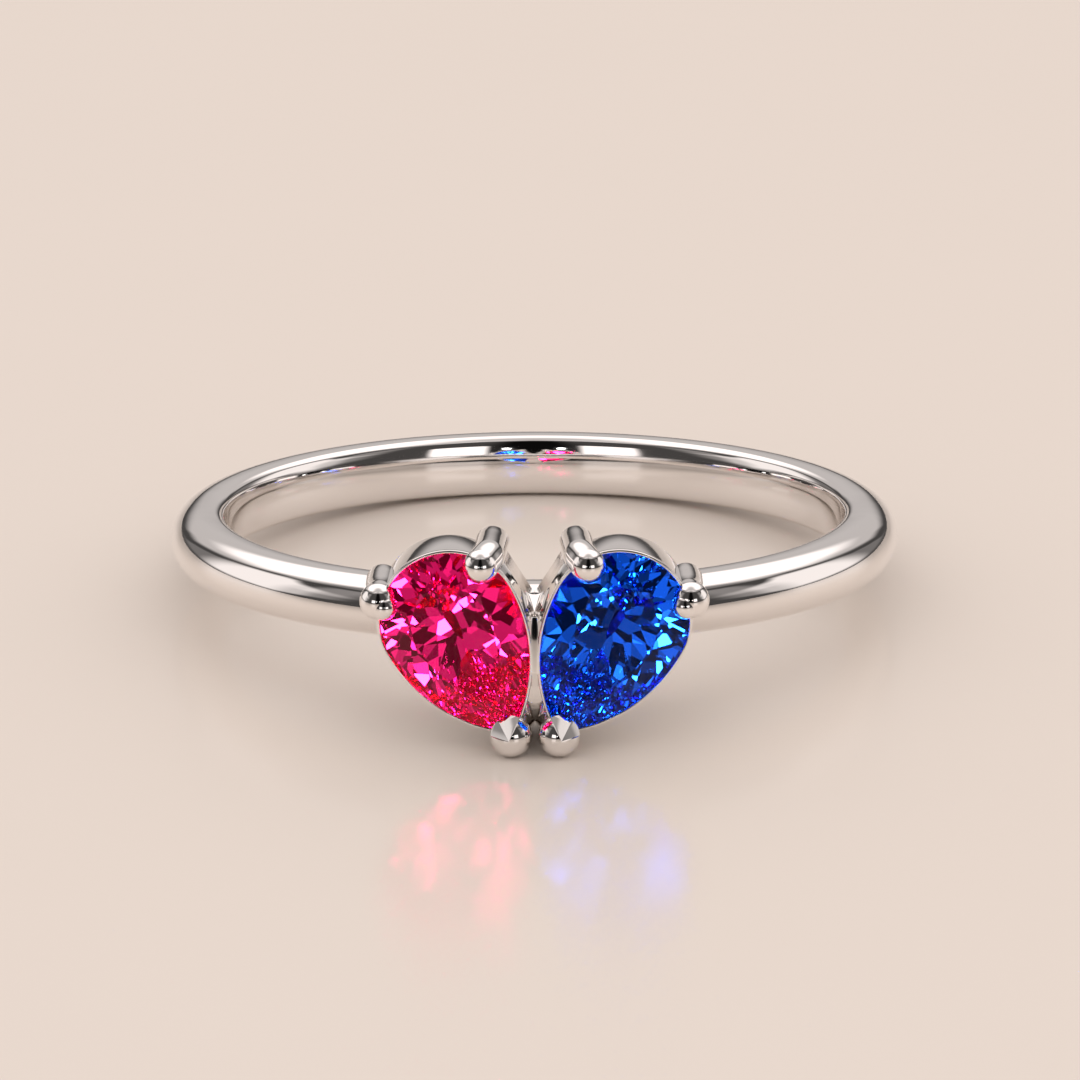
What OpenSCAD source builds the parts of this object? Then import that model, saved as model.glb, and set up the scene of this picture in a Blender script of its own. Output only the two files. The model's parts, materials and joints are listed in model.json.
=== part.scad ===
// Finger ring with two pear-cut stones, one pink and one blue.
// The stones lean together, tips down, in two soldered baskets on a plain round shank, and
// so form a heart. Lengths are in millimetres and angles in degrees.
// The ring lies on its side, as it rests by itself on a table: on its two lowest claws and on
// the far side of the shank. The origin is the centre of the finger hole, +Z is up, and the
// stones face -Y.

/* [Shank] */
// Inside diameter of the shank
finger_d = 17.3; // [15:0.1:22]
// Width of the shank along the finger
shank_w = 1.7; // [1.6:0.05:2]
// Thickness of the shank, from the finger outwards
shank_t = 1.58; // [1.5:0.02:1.8]
// Radius of the soft corners next to the finger
comfort_r = 0.4; // [0.3:0.05:0.5]

/* [Stones] */
// Width of a stone across its round end
stone_w = 3.8; // [3.6:0.05:4]
// Length of a stone from its round end to its tip
stone_l = 5.46; // [5.3:0.02:5.6]
// Lean of each stone, its tip towards the middle
stone_lean = 28.8; // [27:0.1:31]
// Space between the two stones where they are closest
stone_space = 0.34; // [0.3:0.02:0.4]
// Height of the round ends' centres above the middle of the shank
lobe_rise = 0.59; // [0.5:0.01:0.7]
// Distance of the girdle's lower edge from the finger's centre line
girdle_out = 12.8; // [12.6:0.05:13]
// Thickness of the girdle
girdle_t = 0.08; // [0.05:0.01:0.12]
// Height of the crown, from girdle to table
crown_h = 0.55; // [0.45:0.05:0.65]
// Depth of the pavilion, from girdle to culet
pavilion_h = 1.62; // [1.4:0.02:1.7]
// Slope of the crown's main facets
crown_slope = 34; // [32:1:36]
// Slope of the crown's small facets along the girdle
halves_slope = 41; // [39:1:43]
// Slope of the star facets round the table
star_slope = 21; // [18:1:24]
// How much steeper the pavilion's small facets are than its main ones
halves_extra = 1.5; // [1:0.5:3]

/* [Baskets] */
// Depth of the basket walls behind the girdle
wall_depth = 2.4; // [2.2:0.05:2.5]
// How far the basket wall stands out past the stone
wall_out = 0.02; // [0.01:0.01:0.05]
// How far the collar round the girdle stands out past the stone
collar_out = 0.115; // [0.1:0.005:0.14]
// Height of the collar
collar_h = 0.2; // [0.15:0.01:0.3]
// Width of the ledge that the stone sits on
ledge = 0.32; // [0.25:0.01:0.4]
// Clearance between stone and metal
seat_clear = 0.03; // [0.02:0.01:0.05]

/* [Claws] */
// Radius of the stems of the upper and side claws
stem_r = 0.47; // [0.42:0.01:0.5]
// Radius of the rounded end of an upper claw
upper_tip_r = 0.49; // [0.48:0.01:0.53]
// Radius of the rounded end of a side claw
side_tip_r = 0.53; // [0.5:0.01:0.56]
// Radius of the stem of a lower claw
lower_stem_r = 0.54; // [0.5:0.01:0.56]
// Radius of the ball end of a lower claw
lower_tip_r = 0.59; // [0.57:0.01:0.62]

/* [Hidden] */
$fn = 64;

metal_colour = "silver";
pink_colour = "#E0106A";
blue_colour = "#0A4AD0";

// Shank
finger_r = finger_d / 2;
shank_r = finger_r + shank_t;
round_r = shank_w / 2;
round_at = shank_r - round_r;

// Outline of a stone: a round lobe on the origin, and two long flanks that meet in a tip
// below it. Each flank is an arc that leaves the lobe at its widest place.
lobe_r = stone_w / 2;
tip_at = stone_l - lobe_r;
flank_r = (lobe_r * lobe_r + tip_at * tip_at) / (2 * lobe_r);
flank_at = flank_r - lobe_r;
lobe_x = -stone_space / 2 - lobe_r - flank_at * (1 - cos(stone_lean));

// Heights outwards from the finger's centre line
girdle_top = girdle_out + girdle_t;
table_out = girdle_top + crown_h;
basket_foot = girdle_out - wall_depth;
collar_foot = girdle_top - collar_h;
culet_flat = 0.03;
culet_at = 0.3;

// Claws: places of their centre lines round the lobe's centre, as [angle, distance], at the
// foot, the bend and the tip, how far outwards the bend and the tip are, and the radii of the
// bend and of the stretch past it
upper_foot = [55, 2.1];
upper_bend = [58, 2.06];
upper_tip = [61.8, 1.84];
side_foot = [160.7, 1.95];
side_bend = [162, 2.02];
side_tip = [163, 2.0];
bend_out = girdle_out - 0.15;
upper_tip_out = girdle_out + 0.4;
side_tip_out = girdle_out + 0.35;
bend_r = stem_r + 0.005;
bent_r = stem_r - 0.01;

// Lower claws, as places [x, height] on the head
lower_foot = [-0.42, -2.32];
lower_tip = [-0.665, -2.645];
lower_tip_out = girdle_out + 0.25;

// Web that joins the two baskets: a low part, a narrow ridge on it, and at its top two arms
// that run out to the upper claws and leave a V-shaped notch between them
web_half = 0.75;
web_foot = -2.7;
web_out = girdle_out - 0.5;
ridge_half = 0.12;
ridge_foot = -1.9;
ridge_out = girdle_out - 0.06;
notch_foot = 0.82;
notch_lean = 32.3;
arm_foot = 0.3;
arm_top = 2.1;
arm_foot_x = 0.6;
arm_top_x = 1.3;

// Saddle that carries the baskets on the shank, and its underside inside the shank
saddle_half = 0.7;
saddle_foot = finger_r + 0.2;

// How far soldered pieces reach into each other, how far the basket's hollow dips into the
// saddle, and how far a cut runs past the metal
solder_lap = 0.1;
hollow_dip = 0.02;
cut_past = 0.1;

// Lean of the shank at rest: the floor touches the lower claws' ends and the shank's far side
rest_dy = round_at + lower_tip_out;
rest_dz = -lower_tip[1];
rest_lean = atan2(rest_dz, rest_dy)
    - asin((round_r - lower_tip_r) / norm([rest_dy, rest_dz]));

// Larger than any part of a stone, for the halves that are cut away
big = 14;

// Directions of the main facets round the outline, from the round end down to the tip on the
// right side; the left side repeats them
right_mains = [90, 45, 2, -19, -43];
mains = concat(right_mains, [for (i = [len(right_mains) - 1 : -1 : 1]) 180 - right_mains[i]]);

// Distance from the lobe's centre to the outline's edge line that faces a direction
function edge_out(dir) =
    sin(dir) >= 0 ? lobe_r
    : -sin(dir) * flank_r <= tip_at ? flank_r - flank_at * abs(cos(dir))
    : -tip_at * sin(dir);

// Place where the outline faces a direction
function edge_point(dir) =
    sin(dir) >= 0 ? lobe_r * [cos(dir), sin(dir)]
    : -sin(dir) * flank_r > tip_at ? [0, -tip_at]
    : [flank_r * cos(dir) - flank_at * sign(cos(dir)), flank_r * sin(dir)];

// Next main facet's direction, clockwise round the outline, and the turn from one to another
function next_main(i) = mains[(i + 1) % len(mains)];
function turn(from, to) = ((to - from) % 360 + 540) % 360 - 180;

// Slope of a pavilion facet that runs from the girdle to the culet
function pavilion_slope(dir) = atan2(pavilion_h, edge_out(dir) + culet_at * sin(dir));

// Corner of the table beside a main facet
function table_corner(dir) = edge_point(dir)
    - crown_h / tan(crown_slope) * [cos(dir), sin(dir)];

// A place round the left lobe's centre, as [x, height] on the head
function round_lobe(place) = [
    lobe_x + place[1] * cos(place[0]),
    lobe_rise + place[1] * sin(place[0])
];

// The outline of a stone, larger all round by grow, with its lobe's centre on the origin
module pear_outline(grow) {
    intersection() {
        circle(lobe_r + grow);
        translate([-big / 2, 0]) square([big, big / 2]);
    }
    intersection() {
        translate([flank_at, 0]) circle(flank_r + grow);
        translate([-flank_at, 0]) circle(flank_r + grow);
        translate([-big / 2, -big / 2]) square([big, big / 2]);
    }
}

// Places a shape drawn round a lobe's centre at the left stone's place on the head
module at_lobe() {
    translate([lobe_x, lobe_rise, 0]) rotate([0, 0, stone_lean]) children();
}

// A pear-shaped block at the left stone's place
module pear_block(grow, from, to) {
    at_lobe() translate([0, 0, from]) linear_extrude(to - from) pear_outline(grow);
}

// A facet is a place on its plane, the direction that it faces and its lean from the crown's
// side: 0 for the table, 90 for the girdle wall, over 90 on the pavilion.
function crown_facet(dir, slope) = [concat(edge_point(dir), girdle_top), dir, slope];
function pavilion_facet(dir, slope) = [concat(edge_point(dir), girdle_out), dir, 180 - slope];
function star_facet(p, q) = [concat(p, table_out), atan2(q[0] - p[0], p[1] - q[1]), star_slope];

main_facets = [for (dir = mains)
    for (facet = [crown_facet(dir, crown_slope), pavilion_facet(dir, pavilion_slope(dir))]) facet];
star_facets = [for (i = [0 : len(mains) - 1])
    star_facet(table_corner(mains[i]), table_corner(next_main(i)))];
half_dirs = [for (i = [0 : len(mains) - 1]) for (part = [0.25, 0.75])
    mains[i] + part * turn(mains[i], next_main(i))];
half_facets = [for (dir = half_dirs)
    for (facet = [crown_facet(dir, halves_slope),
        pavilion_facet(dir, pavilion_slope(dir) + halves_extra)]) facet];
all_facets = concat(main_facets, star_facets, half_facets);

// A pear-shaped rough on which the first count facets are cut, larger all round by grow
module cut_stone(facets, count, grow) {
    if (count == 0)
        translate([0, 0, girdle_out - pavilion_h + culet_flat - grow])
            linear_extrude(pavilion_h - culet_flat + girdle_t + crown_h + 2 * grow)
                pear_outline(grow);
    else difference() {
        cut_stone(facets, count - 1, grow);
        translate(facets[count - 1][0])
            rotate([0, 0, facets[count - 1][1]]) rotate([0, facets[count - 1][2], 0])
                translate([-big / 2, -big / 2, grow]) cube(big);
    }
}

// A pear brilliant at the left stone's place on the head
module pear_brilliant() {
    at_lobe() cut_stone(all_facets, len(all_facets), 0);
}

// The room that a stone needs in its seat
module stone_seat() {
    at_lobe() cut_stone(main_facets, len(main_facets), seat_clear);
}

// A round bar between two places [x, height, distance outwards]
module bar(from, to, r) {
    way = to - from;
    translate(from) rotate([0, acos(way[2] / norm(way)), atan2(way[1], way[0])])
        cylinder(h = norm(way), r = r);
}

// A claw: a stem that rises along the basket and bends over the stone's edge to a round end
module claw(foot, bend, tip, tip_r) {
    bar(foot, bend, stem_r);
    translate(bend) sphere(bend_r);
    bar(bend, tip, bent_r);
    translate(tip) sphere(tip_r);
}

module left_claws() {
    claw(concat(round_lobe(upper_foot), basket_foot), concat(round_lobe(upper_bend), bend_out),
        concat(round_lobe(upper_tip), upper_tip_out), upper_tip_r);
    claw(concat(round_lobe(side_foot), basket_foot), concat(round_lobe(side_bend), bend_out),
        concat(round_lobe(side_tip), side_tip_out), side_tip_r);
    bar(concat(lower_foot, basket_foot), concat(lower_tip, lower_tip_out), lower_stem_r);
    translate(concat(lower_tip, lower_tip_out)) sphere(lower_tip_r);
}

// The left basket: a wall, a collar round the girdle, and the part that meets the shank
module left_basket() {
    pear_block(wall_out, basket_foot, collar_foot + solder_lap);
    pear_block(collar_out, collar_foot, girdle_top);
    intersection() {
        pear_block(wall_out, saddle_foot, basket_foot + solder_lap);
        translate([-big / 2, -saddle_half, 0]) cube([big, 2 * saddle_half, big]);
    }
}

// The web between the baskets
module web_bar(half, foot, out) {
    translate([-half, foot, basket_foot]) cube([2 * half, notch_foot - foot, out - basket_foot]);
}

module web() {
    web_bar(web_half, web_foot, web_out);
    web_bar(ridge_half, ridge_foot, ridge_out);
    notch_half = (arm_top - notch_foot) * tan(notch_lean);
    for (side = [-1, 1])
        translate([0, 0, basket_foot]) linear_extrude(ridge_out - basket_foot)
            polygon([[0, arm_foot], [0, notch_foot], [side * notch_half, arm_top],
                [side * arm_top_x, arm_top], [side * arm_foot_x, arm_foot]]);
}

// The shank's cross-section: a half round outside, and soft corners next to the finger
module shank_section() {
    translate([round_at, 0]) circle(round_r);
    translate([finger_r + comfort_r, -round_r]) square([round_at - finger_r - comfort_r, shank_w]);
    translate([finger_r, comfort_r - round_r]) square([comfort_r, shank_w - 2 * comfort_r]);
    for (side = [-1, 1])
        translate([finger_r + comfort_r, side * (round_r - comfort_r)]) circle(comfort_r);
}

// Turns the head, drawn facing +Z, so that it faces -Y and its height runs along +Z
module on_head() {
    rotate([90, 0, 0]) children();
}

// Lays the ring down on its claws
module at_rest() {
    rotate([-rest_lean, 0, 0]) children();
}

// The soldered metal: shank, saddle, baskets, web and claws in one piece
module band_and_setting() {
    color(metal_colour) at_rest() difference() {
        union() {
            rotate_extrude() shank_section();
            on_head() {
                web();
                for (side = [0, 1]) mirror([side, 0, 0]) {
                    left_basket();
                    left_claws();
                }
            }
        }
        on_head() for (side = [0, 1]) mirror([side, 0, 0]) {
            pear_block(-ledge, basket_foot - hollow_dip, girdle_top + cut_past);
            stone_seat();
        }
        cylinder(h = big, r = finger_r, center = true);
    }
}

module pink_pear_stone() {
    color(pink_colour) at_rest() on_head() pear_brilliant();
}

module blue_pear_stone() {
    color(blue_colour) at_rest() on_head() mirror([1, 0, 0]) pear_brilliant();
}

band_and_setting();
pink_pear_stone();
blue_pear_stone();
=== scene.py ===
"""Finger ring: two pear-cut stones, pink and blue, in soldered baskets on a round shank.

The ring lies on its side on a pale floor, on its two lowest claws and the far side of the shank.
Pieces are drawn in millimetres in one of two frames and then laid down with the ring:
the ring frame has the finger hole's axis along Z, and the head frame has X to the right, Y up
the heart and Z outwards from the finger, with the finger's centre at its origin.
"""

import json
import math

import bmesh
import bpy
from mathutils import Matrix, Vector
from mathutils.geometry import interpolate_bezier


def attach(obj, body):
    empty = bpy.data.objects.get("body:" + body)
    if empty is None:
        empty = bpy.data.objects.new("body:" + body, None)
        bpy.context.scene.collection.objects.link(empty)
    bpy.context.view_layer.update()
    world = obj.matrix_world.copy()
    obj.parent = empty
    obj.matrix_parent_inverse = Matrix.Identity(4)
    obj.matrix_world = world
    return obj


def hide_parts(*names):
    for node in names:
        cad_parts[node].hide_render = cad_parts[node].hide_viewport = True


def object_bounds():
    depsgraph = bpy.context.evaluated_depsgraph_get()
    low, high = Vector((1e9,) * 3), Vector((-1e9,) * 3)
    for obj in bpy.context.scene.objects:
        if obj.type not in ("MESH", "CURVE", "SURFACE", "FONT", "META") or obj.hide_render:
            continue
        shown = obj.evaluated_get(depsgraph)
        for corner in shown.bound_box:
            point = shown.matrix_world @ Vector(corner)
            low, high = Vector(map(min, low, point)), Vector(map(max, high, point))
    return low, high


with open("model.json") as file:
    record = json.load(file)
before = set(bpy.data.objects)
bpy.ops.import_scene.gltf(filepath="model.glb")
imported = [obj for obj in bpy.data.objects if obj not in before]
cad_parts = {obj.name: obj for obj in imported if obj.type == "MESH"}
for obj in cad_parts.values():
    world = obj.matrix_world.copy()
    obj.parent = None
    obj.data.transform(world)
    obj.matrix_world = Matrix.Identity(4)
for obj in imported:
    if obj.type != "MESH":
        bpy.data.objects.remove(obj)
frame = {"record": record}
cad_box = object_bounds()

MM = 0.001
IN_PLACE = Matrix.Identity(4)

# The finger hole gives the shank's inner radius and how far the ring leans as it rests
hole = frame["record"]["mounts"][0]
finger_r = hole["dims"]["r_mm"]
rest_lean = math.atan2(hole["axis"][1], hole["axis"][2])
ring_to_rest = Matrix.Rotation(-rest_lean, 4, "X") @ Matrix.Scale(MM, 4)
head_to_ring = Matrix.Rotation(math.radians(90), 4, "X")
head_to_rest = ring_to_rest @ head_to_ring
left_right = Matrix.Scale(-1, 4, (1, 0, 0))

# Shank: half round outside, and gently domed with soft corners next to the finger
shank_w = 1.7
shank_t = 1.58
round_r = shank_w / 2
round_at = finger_r + shank_t - round_r
corner_r = 0.3
comfort_r = 3.0

# Arcs are spun in steps, and points of one body closer than the weld become one
weld = 0.0005
band_steps = 288
section_steps = 28
corner_steps = 8
comfort_steps = 10
lobe_steps = 48
flank_steps = 36
curve_steps = 12
trough_steps = 20
rod_sides = 44

# Edges sharper than this are softened, and edges sharper than the crease are shaded as edges
soft_angle = math.radians(20)
crease_angle = math.radians(28)

# Stones: a round lobe and two long flanks that meet in a tip, as seen from the front
stone_w = 3.8
stone_l = 5.46
stone_lean = math.radians(28.8)
stone_space = 0.34
lobe_rise = 0.59
lobe_r = stone_w / 2
tip_at = stone_l - lobe_r
flank_r = (lobe_r ** 2 + tip_at ** 2) / (2 * lobe_r)
flank_at = flank_r - lobe_r
lobe_x = -stone_space / 2 - lobe_r - flank_at * (1 - math.cos(stone_lean))
at_lobe = Matrix.Translation((lobe_x, lobe_rise, 0)) @ Matrix.Rotation(stone_lean, 4, "Z")

# Heights outwards. Those that end in out, top or foot are from the finger's centre line.
girdle_out = 12.8
girdle_top = girdle_out + 0.08
crown_h = 0.55
pavilion_h = 1.62
table_out = girdle_top + crown_h
basket_foot = girdle_out - 2.4
culet_flat = 0.03

# Baskets: a ledge under the stone, a rim round the girdle, a lip under the collar, and a crease
ledge = 0.32
seat_depth = 0.33
seat_edge = 0.015
rim_r = 0.05
rim_in = 0.015
rim_down = 0.03
collar_out = rim_in + 2 * rim_r
collar_h = 0.2
lip_r = 0.03
crease_in = 0.03
crease_h = 0.02
wall_swell = 0.03
foot_r = 0.08
inner_foot_up = 0.01
stone_clear = 0.02
hollow_past_foot = 0.02
hollow_past_top = 0.1

# Saddle between the baskets and the shank
saddle_half = 0.7
saddle_foot = finger_r + 0.2
saddle_top = basket_foot + 0.1
saddle_round = 0.22

# Web between the baskets: a low part, a narrow ridge, and arms round a V-shaped notch
web_half = 0.75
web_out = girdle_out - 0.06
notch_foot = 0.82
notch_lean = math.radians(32.3)
arm_foot = 0.3
arm_top = 2.1
arm_foot_x = 0.6
arm_top_x = 1.3
arm_edge = (0.72, 1.2)
arm_slope = math.radians(38)
arm_round = 0.025
ridge_half = 0.1
ridge_out = girdle_out + 0.1
ridge_top = 0.7
ridge_bend = -0.9
ridge_end = -1.5
ridge_end_out = web_out - 0.1
ridge_round = 0.03
trough_r = 0.355
trough_l = 0.75
trough_keel = 0.1
trough_taper = 0.05
trough_past = 0.02

# The low web's top, and the curve of its front: heights up the head, and falls below web_out
low_web_top = notch_foot - 0.3
low_web_front = [(-0.8, 0), (-1.7, 0), (-2.35, 0.2), (-2.5, 1)]


def new_object(name, bm, place):
    """A mesh object from bm, placed by a matrix, with its normals outwards."""
    bmesh.ops.transform(bm, matrix=place, verts=bm.verts)
    bmesh.ops.recalc_face_normals(bm, faces=bm.faces)
    mesh = bpy.data.meshes.new(name)
    bm.to_mesh(mesh)
    bm.free()
    obj = bpy.data.objects.new(name, mesh)
    bpy.context.scene.collection.objects.link(obj)
    return obj


def fuse(base, others, operation):
    """Solders other bodies to base, or cuts them from it, and then removes them."""
    for other in others:
        step = base.modifiers.new("fuse", "BOOLEAN")
        step.object = other
        step.operation = operation
        step.solver = "MANIFOLD"
    graph = bpy.context.evaluated_depsgraph_get()
    mesh = bpy.data.meshes.new_from_object(base.evaluated_get(graph))
    base.modifiers.clear()
    base.data = mesh
    for other in others:
        bpy.data.objects.remove(other)


# Outline of a stone, and facets


def edge_point(turn):
    """Place where the stone's outline faces a direction, given in degrees."""
    c, s = math.cos(math.radians(turn)), math.sin(math.radians(turn))
    if s >= 0:
        return Vector((lobe_r * c, lobe_r * s))
    if -s * flank_r > tip_at:
        return Vector((0, -tip_at))
    return Vector((flank_r * c - flank_at * math.copysign(1, c), flank_r * s))


def facing(turn):
    """A direction in degrees as a vector."""
    return Vector((math.cos(math.radians(turn)), math.sin(math.radians(turn))))


def turn_to(start, end):
    """The shorter turn from one direction to another."""
    return (end - start + 180) % 360 - 180


def spin_on(bm, start, centre, axis, angle, steps):
    """Spins a vertex into an arc, and gives the arc's far end."""
    made = bmesh.ops.spin(bm, geom=start, cent=centre, axis=axis, angle=angle, steps=steps)
    return [v for v in made["geom_last"] if isinstance(v, bmesh.types.BMVert)]


def edges_at(verts):
    """The edges that meet at some vertices, each once and in an order that never changes."""
    return list(dict.fromkeys(edge for v in verts for edge in v.link_edges))


def pear_loop(bm, grow, out):
    """Edges round a stone's outline, larger by grow: the lobe and two flanks, each spun."""
    before = set(bm.verts)
    reach = math.acos(flank_at / (flank_r + grow))
    end = [bm.verts.new((lobe_r + grow, 0, out))]
    end = spin_on(bm, end, (0, 0, out), (0, 0, 1), math.pi, lobe_steps)
    end = spin_on(bm, end, (flank_at, 0, out), (0, 0, 1), reach, flank_steps)
    spin_on(bm, end, (-flank_at, 0, out), (0, 0, 1), reach, flank_steps)
    made = [v for v in bm.verts if v not in before]
    bmesh.ops.remove_doubles(bm, verts=made, dist=weld)
    return edges_at([v for v in bm.verts if v not in before])


def pear_body(stations, hollow=False):
    """A body through pear outlines, each given as its growth and its height outwards."""
    bm = bmesh.new()
    loops = [pear_loop(bm, grow, out) for grow, out in stations]
    for here, there in zip(loops, loops[1:] + (loops[:1] if hollow else [])):
        bmesh.ops.bridge_loops(bm, edges=here + there)
    if not hollow:
        for end in (loops[0], loops[-1]):
            bmesh.ops.contextual_create(bm, geom=end)
    return bm


# Facets: slopes and directions in degrees
crown_slope = 34
halves_slope = 41
star_slope = 21
keel_slope = 42
keel_reach = 0.9
pavilion_curve = 1.1

# Main directions, down the right side and up the left one. No star is ground across the tip,
# where two of them are further apart than the gap.
right_mains = [90, 60, 30, 2, -12, -26, -43]
mains = right_mains + [180 - turn for turn in right_mains[:0:-1]]
tip_gap = 60

# Rows of the pavilion: their outer and inner ends, as parts of the way from the keel to the
# girdle, and where their facets lie between two main directions
halves_at = (0.25, 0.75)
pavilion_rows = [(1, 0.5, halves_at), (0.8, 0.2, (0,)), (0.5, 0, (0.5,))]


def grind_flat(bm, place, normal):
    """Grinds a flat: cuts a body at a plane and closes it there."""
    geom = bm.verts[:] + bm.edges[:] + bm.faces[:]
    kept = bmesh.ops.bisect_plane(bm, geom=geom, plane_co=place, plane_no=normal, clear_outer=True)
    edges = [e for e in kept["geom_cut"] if isinstance(e, bmesh.types.BMEdge)]
    if edges:
        bmesh.ops.contextual_create(bm, geom=edges)


def leaning(turn, slope):
    """The direction of a flat: slope is 0 for the table, under 90 on the crown and over it below."""
    lean = math.radians(slope)
    return Vector((*(facing(turn) * math.sin(lean)), math.cos(lean)))


def grind(bm, place, turn, slope, grow):
    """Grinds a facet of a stone that is larger by grow."""
    normal = leaning(turn, slope)
    grind_flat(bm, Vector(place) + grow * normal, normal)


def to_keel(turn):
    """Level distance from the outline in to the pavilion's keel."""
    toward = facing(turn)
    if toward.y >= 0:
        return lobe_r
    if -toward.y * flank_r > tip_at:
        return keel_reach
    return max(keel_reach, flank_r - flank_at / abs(toward.x))


def pavilion_facet(bm, turn, outer, inner, grow):
    """A facet of the pavilion between two parts of the way from the keel to the girdle."""
    way = to_keel(turn)
    depth = way * math.tan(math.radians(keel_slope))
    high = depth * (1 - outer ** pavilion_curve)
    low = depth * (1 - inner ** pavilion_curve)
    slope = math.degrees(math.atan2(low - high, (outer - inner) * way))
    spot = edge_point(turn) - (1 - outer) * way * facing(turn)
    grind(bm, (*spot, girdle_out - high), turn, 180 - slope, grow)


def pear_brilliant(grow=0):
    """A pear brilliant round its lobe's centre, or the room that one needs, larger by grow."""
    bm = pear_body([(grow, girdle_out - pavilion_h + culet_flat - grow), (grow, table_out + grow)])
    inset = crown_h / math.tan(math.radians(crown_slope))
    for here, there in zip(mains, mains[1:] + mains[:1]):
        gap = turn_to(here, there)
        for outer, inner, parts in pavilion_rows:
            for part in parts:
                pavilion_facet(bm, here + part * gap, outer, inner, grow)
        grind(bm, (*edge_point(here), girdle_top), here, crown_slope, grow)
        for part in halves_at:
            turn = here + part * gap
            grind(bm, (*edge_point(turn), girdle_top), turn, halves_slope, grow)
        if abs(gap) < tip_gap:
            p = edge_point(here) - inset * facing(here)
            q = edge_point(there) - inset * facing(there)
            star_turn = math.degrees(math.atan2(q.x - p.x, p.y - q.y))
            grind(bm, (*p, table_out), star_turn, star_slope, grow)
    return bm


# Metal


def shank():
    """The plain band, its cross-section spun round the finger's axis."""
    bm = bmesh.new()
    out = (0, -1, 0)
    dome_at = finger_r + comfort_r
    corner_z = round_r - corner_r
    corner_x = dome_at - math.sqrt((comfort_r - corner_r) ** 2 - corner_z ** 2)
    dome_half = math.asin(corner_z / (comfort_r - corner_r))
    low = bm.verts.new((round_at, 0, -round_r))
    high = spin_on(bm, [low], (round_at, 0, 0), out, math.pi, section_steps)
    start = bm.verts.new((corner_x, 0, round_r))
    bm.edges.new((high[0], start))
    quarter = math.pi / 2 - dome_half
    end = spin_on(bm, [start], (corner_x, 0, corner_z), out, quarter, corner_steps)
    end = spin_on(bm, end, (dome_at, 0, 0), out, 2 * dome_half, comfort_steps)
    end = spin_on(bm, end, (corner_x, 0, -corner_z), out, quarter, corner_steps)
    bm.edges.new((end[0], low))
    bmesh.ops.spin(bm, geom=bm.verts[:] + bm.edges[:], cent=(0, 0, 0), axis=(0, 0, 1),
                   angle=2 * math.pi, steps=band_steps, use_merge=True)
    return bm


def round_corner(grow, out, r, start, end, steps=6):
    """Stations round a corner: its centre, its radius, and its first and last direction."""
    turns = [math.radians(start + (end - start) * i / steps) for i in range(steps + 1)]
    return [(grow + r * math.cos(t), out + r * math.sin(t)) for t in turns]


def basket():
    """A basket: a ledge and a seat for the stone, the collar's rim and lip, the crease under it,
    and the wall down to its round foot."""
    foot = basket_foot + foot_r
    crease = girdle_top - collar_h
    wall_r = (crease - foot) ** 2 / (8 * wall_swell)
    wall_mid = (crease + foot) / 2
    swell = math.degrees(math.asin((crease - foot) / 2 / wall_r))
    stations = [(-ledge, girdle_out - seat_depth), (rim_in, girdle_out - seat_edge)]
    stations += round_corner(rim_in + rim_r, girdle_top - rim_down, rim_r, 180, 0, 10)
    stations += round_corner(collar_out - lip_r, crease + 2 * lip_r, lip_r, 0, -85, 4)
    stations += [(crease_in, crease + crease_h)]
    stations += round_corner(wall_swell - wall_r, wall_mid, wall_r, swell, -swell, 10)
    stations += round_corner(-foot_r, foot, foot_r, -10, -90)
    stations += round_corner(foot_r - ledge, foot + inner_foot_up, foot_r, -90, -180)
    return pear_body(stations, hollow=True)


def saddle():
    """The metal under a basket: the stone's outline, as narrow as the shank."""
    bm = pear_body([(0, saddle_foot), (0, saddle_top)])
    bmesh.ops.transform(bm, matrix=at_lobe, verts=bm.verts)
    for side in (-1, 1):
        grind_flat(bm, (0, side * saddle_half, 0), (0, side, 0))
    soften(bm, saddle_round, segments=5)
    return bm


def soften(bm, width, segments=3):
    """Rounds the sharp edges of a body."""
    sharp = [e for e in bm.edges if e.calc_face_angle(0) > soft_angle]
    bmesh.ops.bevel(bm, geom=sharp, offset=width, affect="EDGES", segments=segments,
                    profile=0.5, material=-1, clamp_overlap=True)


def prism(corners, direction):
    """A body from a flat outline and the way that it is drawn out."""
    bm = bmesh.new()
    face = bm.faces.new([bm.verts.new(corner) for corner in corners])
    drawn = bmesh.ops.extrude_face_region(bm, geom=[face])
    moved = [v for v in drawn["geom"] if isinstance(v, bmesh.types.BMVert)]
    bmesh.ops.translate(bm, verts=moved, vec=direction)
    bmesh.ops.recalc_face_normals(bm, faces=bm.faces)
    return bm


def arm():
    """The right half of the web's top, beside its V-shaped notch, whose front slopes inwards."""
    top_x = (arm_top - notch_foot) * math.tan(notch_lean)
    corners = [(0, arm_foot), (arm_foot_x, arm_foot), (arm_top_x, arm_top), (top_x, arm_top),
               (0, notch_foot)]
    bm = prism([(x, height, basket_foot) for x, height in corners],
               (0, 0, web_out - basket_foot))
    inward = Vector((-math.cos(notch_lean), math.sin(notch_lean), 0))
    normal = inward * math.sin(arm_slope) + Vector((0, 0, math.cos(arm_slope)))
    grind_flat(bm, Vector((*arm_edge, web_out)), normal)
    soften(bm, arm_round)
    return bm


def low_web():
    """The filling between the baskets, whose front falls away towards the stones' tips."""
    knots = [Vector((-web_half, height, web_out - fall)) for height, fall in low_web_front]
    front = interpolate_bezier(*knots, curve_steps)
    tip = Vector((-web_half, knots[-1].y, basket_foot))
    top = [Vector((-web_half, low_web_top, out)) for out in (web_out, basket_foot)]
    return prism([top[0], *front, tip, top[1]], (2 * web_half, 0, 0))


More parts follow.
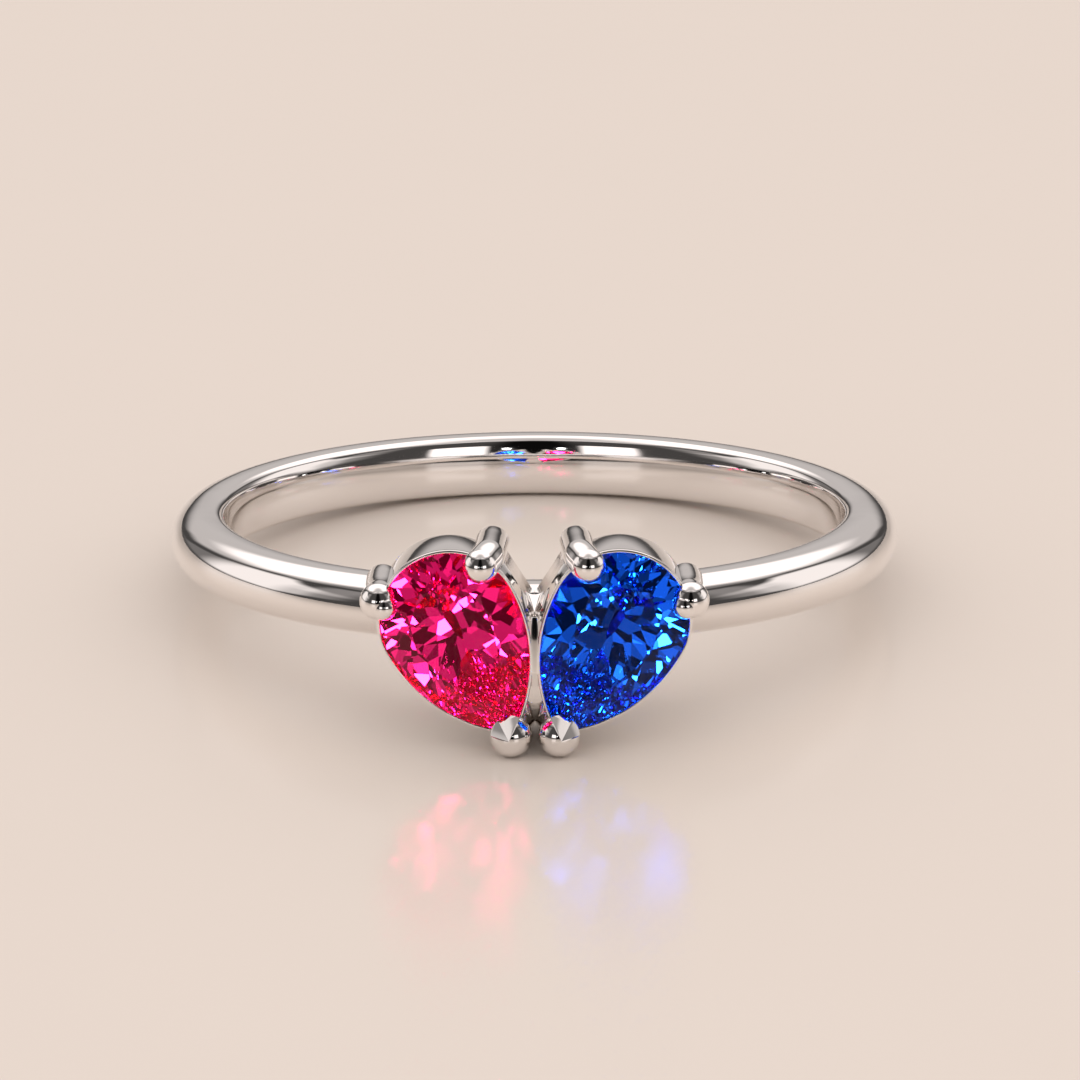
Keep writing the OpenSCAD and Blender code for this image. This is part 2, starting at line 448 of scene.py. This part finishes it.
def ridge():
    """A narrow ridge between the collars that runs out where the stones part."""
    corners = [(ridge_top, basket_foot), (ridge_top, ridge_out), (ridge_bend, ridge_out),
               (ridge_end, ridge_end_out), (ridge_end, basket_foot)]
    bm = prism([(-ridge_half, height, out) for height, out in corners], (2 * ridge_half, 0, 0))
    soften(bm, ridge_round)
    return bm


def trough():
    """A fillet in the notch's foot that widens inwards."""
    bm = bmesh.new()
    half = math.pi / 2 - notch_lean
    centre = Vector((0, notch_foot + trough_r / math.sin(notch_lean), web_out - trough_l))
    start = bm.verts.new(centre + trough_r * Vector((-math.sin(half), -math.cos(half), 0)))
    end = spin_on(bm, [start], centre, (0, 0, 1), 2 * half, trough_steps)
    keel = bm.verts.new((0, notch_foot - trough_keel, centre.z))
    bm.edges.new((end[0], keel))
    bm.edges.new((keel, start))
    bmesh.ops.contextual_create(bm, geom=bm.edges[:])
    drawn = bmesh.ops.extrude_face_region(bm, geom=bm.faces[:])
    moved = [v for v in drawn["geom"] if isinstance(v, bmesh.types.BMVert)]
    foot = Matrix.Translation((0, -notch_foot, -centre.z))
    bmesh.ops.scale(bm, verts=moved, vec=(trough_taper, trough_taper, 1), space=foot)
    bmesh.ops.translate(bm, verts=moved, vec=(0, 0, trough_l + trough_past))
    return bm


def rod(stations):
    """A closed rod through stations, each a place and a radius."""
    bm = bmesh.new()
    rings = []
    places = [place for place, radius in stations]
    for i, (place, radius) in enumerate(stations):
        way = places[min(i + 1, len(places) - 1)] - places[max(i - 1, 0)]
        turn = way.to_track_quat("Z", "Y").to_matrix().to_4x4()
        ring = bmesh.ops.create_circle(bm, segments=rod_sides, radius=radius,
                                       matrix=Matrix.Translation(place) @ turn)
        rings.append(edges_at(ring["verts"]))
    for here, there in zip(rings, rings[1:]):
        bmesh.ops.bridge_loops(bm, edges=here + there)
    for end in (rings[0], rings[-1]):
        bmesh.ops.contextual_create(bm, geom=end)
    return bm


# A dome stops just short of its pole, where its last small ring is closed by a flat
dome_reach = math.radians(88)


def dome(place, way, radius):
    """Stations of a rod's half-ball end."""
    turns = [dome_reach * (i + 1) / curve_steps for i in range(curve_steps)]
    return [(place + way.normalized() * radius * math.sin(t), radius * math.cos(t)) for t in turns]


# Claws: a stem that starts above the basket's foot, and a bend that leaves the stem along it
heel_up = Vector((0, 0, 0.3))
stem_steps = 4
bend_steps = 14
bend_onward = 0.12
bend_back = 0.35


def bent_rod(foot, bend, tip, tip_r):
    """A claw: a straight stem, round at its foot, that bends over to a round end."""
    heel = foot + heel_up
    heel_dome = dome(heel, foot - bend, stem_r)
    stem = [heel.lerp(bend, i / stem_steps) for i in range(stem_steps)]
    onward = bend + (bend - foot) * bend_onward
    curve = interpolate_bezier(bend, onward, tip.lerp(bend, bend_back), tip, bend_steps)
    swell = [stem_r + (tip_r - stem_r) * i / (bend_steps - 1) for i in range(bend_steps)]
    path = stem + curve
    radii = [stem_r] * stem_steps + swell
    way = path[-1] - path[-2]
    return rod(heel_dome[::-1] + list(zip(path, radii)) + dome(path[-1], way, tip_r))


def round_lobe(turn, distance, out):
    """A place on the head, by its direction and distance from the left lobe's centre."""
    spot = Vector((lobe_x, lobe_rise)) + distance * facing(turn)
    return Vector((spot.x, spot.y, out))


stem_r = 0.47
upper_tip_r = 0.49
upper_foot = round_lobe(55, 2.1, basket_foot)
upper_bend = round_lobe(58, 2.06, girdle_out - 0.35)
upper_tip = round_lobe(61.8, 1.84, girdle_out + 0.4)

side_bend_r = 0.52
side_foot = round_lobe(160.7, 1.95, basket_foot)
side_bend = round_lobe(162, 2.02, girdle_out - 0.4)
side_top = round_lobe(163.5, 2.05, girdle_out + 0.1)

side_tip_r = 0.36
hook_start = round_lobe(162, 2.06, girdle_out + 0.12)
hook_end = round_lobe(166, 1.86, girdle_out + 0.32)

lower_stem_r = 0.54
lower_tip_r = 0.59
lower_foot = Vector((-0.42, -2.32, basket_foot))
lower_tip = Vector((-0.665, -2.645, girdle_out + 0.25))
ball_sides = 64
ball_rings = 40

# Fan of flats on a lower claw: each flat's direction and slope, and the directions where it ends
fan_flats = [(145, 42), (118, 40), (100, 42), (76, 38)]
fan_ends = (62, 172)
fan_point = lower_tip + Vector((-0.07, -0.03, 0.94 * lower_tip_r))
fan_under_ball = 0.003
fan_reach = 3 * lower_tip_r


def upper_claw():
    return bent_rod(upper_foot, upper_bend, upper_tip, upper_tip_r)


def side_claw():
    return bent_rod(side_foot, side_bend, side_top, side_bend_r)


def side_hook():
    """The side claw's end, which turns in over the stone."""
    stations = [(hook_start, side_tip_r), (hook_end, side_tip_r)]
    return rod(stations + dome(hook_end, hook_end - hook_start, side_tip_r))


def lower_claw():
    """A lower claw's straight stem."""
    return rod([(lower_foot, lower_stem_r), (lower_tip, lower_stem_r)])


def ball(radius):
    """A lower claw's round end."""
    bm = bmesh.new()
    bmesh.ops.create_uvsphere(bm, u_segments=ball_sides, v_segments=ball_rings, radius=radius,
                              matrix=Matrix.Translation(lower_tip))
    return bm


def fan_ball():
    """A ball end filed to a fan of flats that meet in a point in front. It is a hair smaller than
    the round part beside it, so that the two never share a surface."""
    bm = ball(lower_tip_r - fan_under_ball)
    for turn, slope in fan_flats:
        grind_flat(bm, fan_point, leaning(turn, slope))
    return bm


def fan_room():
    """The part of a ball end that the fan of flats takes up."""
    start, end = [fan_point + fan_reach * Vector((*facing(turn), 0)) for turn in fan_ends]
    out = Vector((0, 0, fan_reach))
    return prism([fan_point + out, start + out, end + out], -2 * out)


def band_and_setting():
    """The soldered and polished metal in one body."""
    metal = new_object("metal", shank(), ring_to_rest)
    joined, hollows, claws, rooms = [], [], [], []
    for side in (IN_PLACE, left_right):
        place = head_to_rest @ side
        joined.append(new_object("basket", basket(), place @ at_lobe))
        joined.append(new_object("saddle", saddle(), place))
        joined.append(new_object("arm", arm(), place))
        hollow = [(-ledge, basket_foot - hollow_past_foot), (-ledge, girdle_top + hollow_past_top)]
        hollows.append(new_object("hollow", pear_body(hollow), place @ at_lobe))
        rooms.append(new_object("room", pear_brilliant(stone_clear), place @ at_lobe))
        for make in (upper_claw, side_claw, side_hook, lower_claw, fan_ball):
            claws.append(new_object("claw", make(), place))
        round_part = new_object("ball", ball(lower_tip_r), place)
        fuse(round_part, [new_object("fan_room", fan_room(), place)], "DIFFERENCE")
        claws.append(round_part)
    for make in (low_web, ridge, trough):
        joined.append(new_object("web", make(), head_to_rest))
    fuse(metal, joined + claws, "UNION")
    fuse(metal, hollows + rooms, "DIFFERENCE")
    metal.data.materials.clear()
    metal.data.shade_smooth()
    metal.data.set_sharp_from_angle(angle=crease_angle)
    even = metal.modifiers.new("even_shading", "WEIGHTED_NORMAL")
    even.keep_sharp = True
    return metal


# Materials


def linear(hex_colour):
    """An sRGB hex colour as linear RGBA."""
    parts = [int(hex_colour[i:i + 2], 16) / 255 for i in (1, 3, 5)]
    return (*[p / 12.92 if p <= 0.04045 else ((p + 0.055) / 1.055) ** 2.4 for p in parts], 1)


def add(tree, kind, inputs, **settings):
    """A node of a kind, with its inputs set or linked by name or place, and its settings."""
    node = tree.nodes.new(kind)
    for key, value in settings.items():
        setattr(node, key, value)
    for key, value in inputs.items():
        if isinstance(value, bpy.types.NodeSocket):
            tree.links.new(value, node.inputs[key])
        else:
            node.inputs[key].default_value = value
    return node


def new_material(name):
    """A material whose nodes are still to be added, and its node tree."""
    material = bpy.data.materials.new(name)
    material.use_nodes = True
    tree = material.node_tree
    tree.nodes.clear()
    return material, tree


# Sizes of marks in the finishes, in millimetres
polish_wave = 1.1
polish_wave_h = 0.0028
polish_line = 0.09
polish_line_h = 0.00012
polish_patch = 2.0
lacquer_patch = 9.0

# Roughness of the finishes, from their glossiest patches to their dullest
polish_gloss = (0.03, 0.075)
lacquer_gloss = (0.15, 0.2)

# Corundum: how far it bends light, how much colour it takes up on the way, and its painted glow
corundum_ior = 1.77
corundum_depth = 150.0
painted_glow_strength = 0.04


def rhodium():
    """Rhodium plate over white gold, polished on felt wheels: a bright mirror that wavers a
    little where the wheel cut, with lines that run round the finger. The real lines are a few
    micrometres wide, and are drawn as wide as the render can show."""
    material, tree = new_material("rhodium_plated_white_gold")
    place = add(tree, "ShaderNodeTexCoord", {}).outputs["Object"]
    upright = add(tree, "ShaderNodeMapping", {"Vector": place, "Rotation": (rest_lean, 0, 0)})
    wave = add(tree, "ShaderNodeTexNoise", {
        "Vector": upright.outputs[0], "Scale": 1 / (polish_wave * MM), "Detail": 1.0})
    patch = add(tree, "ShaderNodeTexNoise", {
        "Vector": upright.outputs[0], "Scale": 1 / (polish_patch * MM), "Detail": 3.0})
    level = add(tree, "ShaderNodeVectorMath", {0: upright.outputs[0], 1: (1, 1, 0)},
                operation="MULTIPLY")
    radius = add(tree, "ShaderNodeVectorMath", {0: level.outputs[0]}, operation="LENGTH")
    parts = add(tree, "ShaderNodeSeparateXYZ", {"Vector": upright.outputs[0]})
    across = add(tree, "ShaderNodeCombineXYZ", {
        "X": radius.outputs["Value"], "Z": parts.outputs["Z"]})
    lines = add(tree, "ShaderNodeTexNoise", {
        "Vector": across.outputs[0], "Scale": 1 / (polish_line * MM), "Detail": 2.0})
    waver = add(tree, "ShaderNodeBump", {
        "Height": wave.outputs[0], "Strength": 1.0, "Distance": polish_wave_h * MM})
    grain = add(tree, "ShaderNodeBump", {
        "Height": lines.outputs[0], "Strength": 1.0, "Distance": polish_line_h * MM,
        "Normal": waver.outputs[0]})
    gloss = add(tree, "ShaderNodeMapRange", {
        "Value": patch.outputs[0], "From Min": 0.35, "From Max": 0.65,
        "To Min": polish_gloss[0], "To Max": polish_gloss[1]})
    skin = add(tree, "ShaderNodeBsdfPrincipled", {
        "Base Color": linear("#F5F2F0"), "Metallic": 1.0, "Roughness": gloss.outputs[0],
        "Normal": grain.outputs[0]})
    add(tree, "ShaderNodeOutputMaterial", {"Surface": skin.outputs[0]})
    return material


def corundum(name, colour, depth_colour, painted_glow_colour):
    """Cut and polished corundum: clear, glassy and deeply coloured, more so the longer the way
    that light takes inside it. Its skin mirrors less than a real one does, so that the light
    inside shows. The pink one also has a faint painted red glow of its own, which no lamp gives,
    standing for the red light that its chromium gives back."""
    material, tree = new_material(name)
    # The emission is a painted glow: light the stone gives off by itself, faint red on the pink one
    skin = add(tree, "ShaderNodeBsdfPrincipled", {
        "Base Color": linear(colour), "Roughness": 0.0, "IOR": corundum_ior,
        "Transmission Weight": 1.0, "Specular Tint": linear("#6C6C6C"),
        "Emission Color": linear(painted_glow_colour), "Emission Strength": painted_glow_strength})
    depth = add(tree, "ShaderNodeVolumeAbsorption", {
        "Color": linear(depth_colour), "Density": corundum_depth})
    add(tree, "ShaderNodeOutputMaterial", {"Surface": skin.outputs[0], "Volume": depth.outputs[0]})
    return material


def floor_lacquer():
    """Satin lacquer sprayed on a pale board: faint, soft reflections, a little uneven."""
    material, tree = new_material("satin_lacquered_board")
    place = add(tree, "ShaderNodeTexCoord", {}).outputs["Object"]
    patch = add(tree, "ShaderNodeTexNoise", {
        "Vector": place, "Scale": 1 / (lacquer_patch * MM), "Detail": 3.0})
    gloss = add(tree, "ShaderNodeMapRange", {
        "Value": patch.outputs[0], "From Min": 0.3, "From Max": 0.7,
        "To Min": lacquer_gloss[0], "To Max": lacquer_gloss[1]})
    skin = add(tree, "ShaderNodeBsdfPrincipled", {
        "Base Color": linear("#DAD1C8"), "Roughness": gloss.outputs[0],
        "Specular IOR Level": 0.09})
    add(tree, "ShaderNodeOutputMaterial", {"Surface": skin.outputs[0]})
    return material


metal = band_and_setting()
metal.name = "polished_band_and_setting"
metal.data.materials.append(rhodium())
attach(metal, "root")
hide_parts("band_and_setting")

pink = new_object("pink_stone", pear_brilliant(), head_to_rest @ at_lobe)
blue = new_object("blue_stone", pear_brilliant(), head_to_rest @ left_right @ at_lobe)
# Each stone's colour, its colour deep inside, and the colour of its painted glow, black on the blue
# one
pink.data.materials.append(corundum("pink_corundum", "#F52C7F", "#F67CE2", "#A0002C"))
blue.data.materials.append(corundum("blue_corundum", "#1E64EE", "#7CE2F8", "#000000"))
for obj, node, slot in ((pink, "pink_pear_stone", "pink_stone"),
                        (blue, "blue_pear_stone", "blue_stone")):
    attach(obj, "root")
    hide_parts(node)

# Floor: it lies just under the ring, and the stones' inner light doesn't come from it
floor_half = 3.0
at_floor = Matrix.Translation((0, 0, cad_box[0].z))
bm = bmesh.new()
bmesh.ops.create_grid(bm, x_segments=1, y_segments=1, size=floor_half, matrix=at_floor)
floor = new_object("floor", bm, IN_PLACE)
floor.data.materials.append(floor_lacquer())
floor.visible_transmission = False


# Light: what the metal mirrors. A thin dark gap runs round it. Above the gap are a grey back wall
# and a softbox overhead, and below it a softbox on each side. The front is dark, with a panel on
# each side. Four edges rise and fall round the ring: the gap, the overhead softbox's lower edge,
# and the side softboxes' upper and lower edges. Each row of an edge has a direction, from 0 at the
# back to 180 in front, and the edge's height there, both in degrees.
gap_rows = [(0, -1), (14, 2), (21, 3), (24, 6), (30, 8), (35, 14), (41, 20), (50, 28),
            (60, 36), (76, 42), (87, 47), (101, 50), (120, 56), (145, 70), (180, 74)]
overhead_rows = [(0, 24), (20, 21), (30, 24), (38, 29), (50, 34), (64, 45), (72, 50), (90, 58),
                 (180, 64)]
box_top_rows = [(0, 14), (45, 22), (53, 28), (60, 33), (69, 38), (76, 39), (86, 34), (101, 30),
                (180, 10)]
box_foot_rows = [(0, -4), (70, -6), (84, -3), (90, -1), (101, 4), (120, 10), (180, 20)]

# Colours are shown as they are. The studio isn't sampled as a lamp, because Light Path would
# count for nothing there.
bpy.context.scene.view_settings.view_transform = "Standard"
world = bpy.data.worlds.new("studio")
bpy.context.scene.world = world
world.use_nodes = True
world.cycles.sampling_method = "NONE"
tree = world.node_tree
tree.nodes.clear()
way = add(tree, "ShaderNodeTexCoord", {}).outputs["Generated"]
split = add(tree, "ShaderNodeSeparateXYZ", {"Vector": way})
aside = add(tree, "ShaderNodeMath", {0: split.outputs["X"]}, operation="ABSOLUTE")
round_it = add(tree, "ShaderNodeMath", {0: aside.outputs[0], 1: split.outputs["Y"]},
               operation="ARCTAN2")
round_it = add(tree, "ShaderNodeMath", {0: round_it.outputs[0]}, operation="DEGREES").outputs[0]
height = add(tree, "ShaderNodeMath", {0: split.outputs["Z"]}, operation="ARCSINE")
height = add(tree, "ShaderNodeMath", {0: height.outputs[0]}, operation="DEGREES").outputs[0]


def above(rows):
    """How far a direction is above an edge that rises and falls round the ring."""
    part = add(tree, "ShaderNodeMath", {0: round_it, 1: 180.0}, operation="DIVIDE")
    ramp = add(tree, "ShaderNodeValToRGB", {"Fac": part.outputs[0]})
    stops = ramp.color_ramp.elements
    for spot, rise in rows[1:-1]:
        stops.new(spot / 180)
    for stop, (spot, rise) in zip(stops, rows):
        stop.position = spot / 180
        stop.color = (rise / 90, rise / 90, rise / 90, 1)
    edge = add(tree, "ShaderNodeMath", {0: ramp.outputs["Color"], 1: 90.0}, operation="MULTIPLY")
    over = add(tree, "ShaderNodeMath", {0: height, 1: edge.outputs[0]}, operation="SUBTRACT")
    return over.outputs[0]


over_gap = above(gap_rows)
over_back = above(overhead_rows)
over_box = above(box_top_rows)
over_foot = above(box_foot_rows)

# Each light has a strength and its fades. A fade is a value, and where the light is out and where
# it is full, so that a first number larger than the second one is a far or an upper edge.
overhead = [(over_gap, -1, 2), (over_back, -4, 8)]
below_top = (height, 84, 60)
side_box = [(over_box, 3, -3), (over_foot, 0, 5), (round_it, 44, 60)]
lights = {
    "all round": (0.004, []),
    "all but the front": (0.06, [(round_it, 172, 155)]),
    "back wall": (0.5, [(over_gap, 0, 8), (over_back, 8, -4), (round_it, 84, 66)]),
    "side wall": (0.16, [(over_gap, 0, 4), (over_back, 8, -4), (round_it, 60, 76)]),
    "overhead softbox": (0.5, overhead),
    "its back": (0.8, overhead + [below_top, (round_it, 110, 70)]),
    "its front": (0.6, overhead + [below_top, (round_it, 110, 145)]),
    "strip in front": (0.35, [(over_gap, -9, -2), (over_gap, 1, -1), (round_it, 135, 150)]),
    "side softbox, back": (0.4, side_box + [(round_it, 96, 84)]),
    "side softbox, middle": (0.35, side_box + [(round_it, 106, 97)]),
    "side softbox, whole": (0.22, side_box + [(round_it, 122, 104)]),
    "card over it": (0.2, [(over_gap, -2, -6), (height, 18, 24), (round_it, 88, 98),
                           (round_it, 124, 108)]),
    "low back wall": (0.12, [(over_gap, -3, -6), (height, 0, 5), (round_it, 60, 46)]),
    "front panel": (1.4, [(round_it, 138, 142), (round_it, 164, 160), (height, 4, 8),
                          (height, 24, 19)]),
}
studio = 0.0
for strength, fades in lights.values():
    light = strength
    for value, start, end in fades:
        fade = add(tree, "ShaderNodeMapRange", {"Value": value, "From Min": start, "From Max": end},
                   interpolation_type="SMOOTHSTEP")
        light = add(tree, "ShaderNodeMath", {0: light, 1: fade.outputs[0]},
                    operation="MULTIPLY").outputs[0]
    studio = add(tree, "ShaderNodeMath", {0: studio, 1: light}, operation="ADD").outputs[0]

# The stones gather light from many small lamps and shades at once, and the floor an even light.
# Each row has where a strength starts, as a part of all the lamps, and the strength.
lamp_width = math.radians(5.7)
lamp_rows = [(0.0, 0.04), (0.34, 0.2), (0.52, 0.6), (0.74, 1.1), (0.88, 3.0), (0.94, 34.0)]
brightest = lamp_rows[-1][1]
even_light = 1.18
cells = add(tree, "ShaderNodeTexVoronoi", {"Vector": way, "Scale": 1 / lamp_width})
pick = add(tree, "ShaderNodeSeparateColor", {"Color": cells.outputs["Color"]})
lamps = add(tree, "ShaderNodeValToRGB", {"Fac": pick.outputs[0]})
lamps.color_ramp.interpolation = "CONSTANT"
for start, strength in lamp_rows[1:-1]:
    lamps.color_ramp.elements.new(start)
for stop, (start, strength) in zip(lamps.color_ramp.elements, lamp_rows):
    stop.position = start
    stop.color = (strength / brightest, strength / brightest, strength / brightest, 1)
sparkle = add(tree, "ShaderNodeMath", {0: lamps.outputs["Color"], 1: brightest},
              operation="MULTIPLY")
path = add(tree, "ShaderNodeLightPath", {})
for kind, light in (("Is Diffuse Ray", even_light), ("Is Transmission Ray", sparkle.outputs[0])):
    studio = add(tree, "ShaderNodeMix", {"Factor": path.outputs[kind], "A": studio, "B": light},
                 data_type="FLOAT").outputs[0]
sky = add(tree, "ShaderNodeBackground", {"Color": linear("#FFF7F4"), "Strength": studio})
add(tree, "ShaderNodeOutputWorld", {"Surface": sky.outputs[0]})

# Light turns back many times inside a cut stone before it leaves. What it would throw on the
# metal and the floor isn't followed, because that takes far longer to come out clean.
paths = bpy.context.scene.cycles
paths.max_bounces = 24
paths.glossy_bounces = 24
paths.transmission_bounces = 24
paths.caustics_refractive = False
paths.sample_clamp_indirect = 40

# Two small round lamps in front, for glints on the claws and inside the band. Their size and
# place are in metres, and their energy gives a disk of that size the brightness named here.
glint_size = 0.03
glint_brightness = 5
glint_x, glint_y, glint_z = 0.09, -0.49, 0.13
for side in (-1, 1):
    lamp = bpy.data.lights.new("glint_lamp", "AREA")
    lamp.shape = "DISK"
    lamp.size = glint_size
    lamp.energy = glint_brightness * (math.pi * glint_size / 2) ** 2
    glint = bpy.data.objects.new("glint_lamp", lamp)
    spot = Vector((side * glint_x, glint_y, glint_z))
    towards_ring = (-spot).to_track_quat("-Z", "Y").to_matrix().to_4x4()
    glint.matrix_world = Matrix.Translation(spot) @ towards_ring
    bpy.context.scene.collection.objects.link(glint)

# Camera: at the photo's angle to the ring, and laid down with it. Its distance, the width of its
# view and the place it aims at are in millimetres.
camera_rise = math.radians(13.14)
camera_roll = math.radians(0.27)
camera_far = 750.0
view_w = 30.42
aim_x = 0.1606
aim_z = 0.1169

forward = Vector((0, math.cos(camera_rise), -math.sin(camera_rise)))
upward = Vector((0, math.sin(camera_rise), math.cos(camera_rise)))
rightward = Vector((1, 0, 0))
turn = Matrix((rightward, upward, -forward)).transposed().to_4x4()
cam = bpy.data.cameras.new("camera")
cam.sensor_width = 36
cam.lens = cam.sensor_width * camera_far / view_w
cam.clip_start = 0.01
cam.clip_end = 10
camera = bpy.data.objects.new("camera", cam)
place = ring_to_rest @ (aim_x * rightward - aim_z * upward - camera_far * forward)
camera.matrix_world = (
    Matrix.Translation(place)
    @ Matrix.Rotation(-rest_lean, 4, "X")
    @ turn
    @ Matrix.Rotation(-camera_roll, 4, "Z")
)
bpy.context.scene.collection.objects.link(camera)
bpy.context.scene.camera = camera
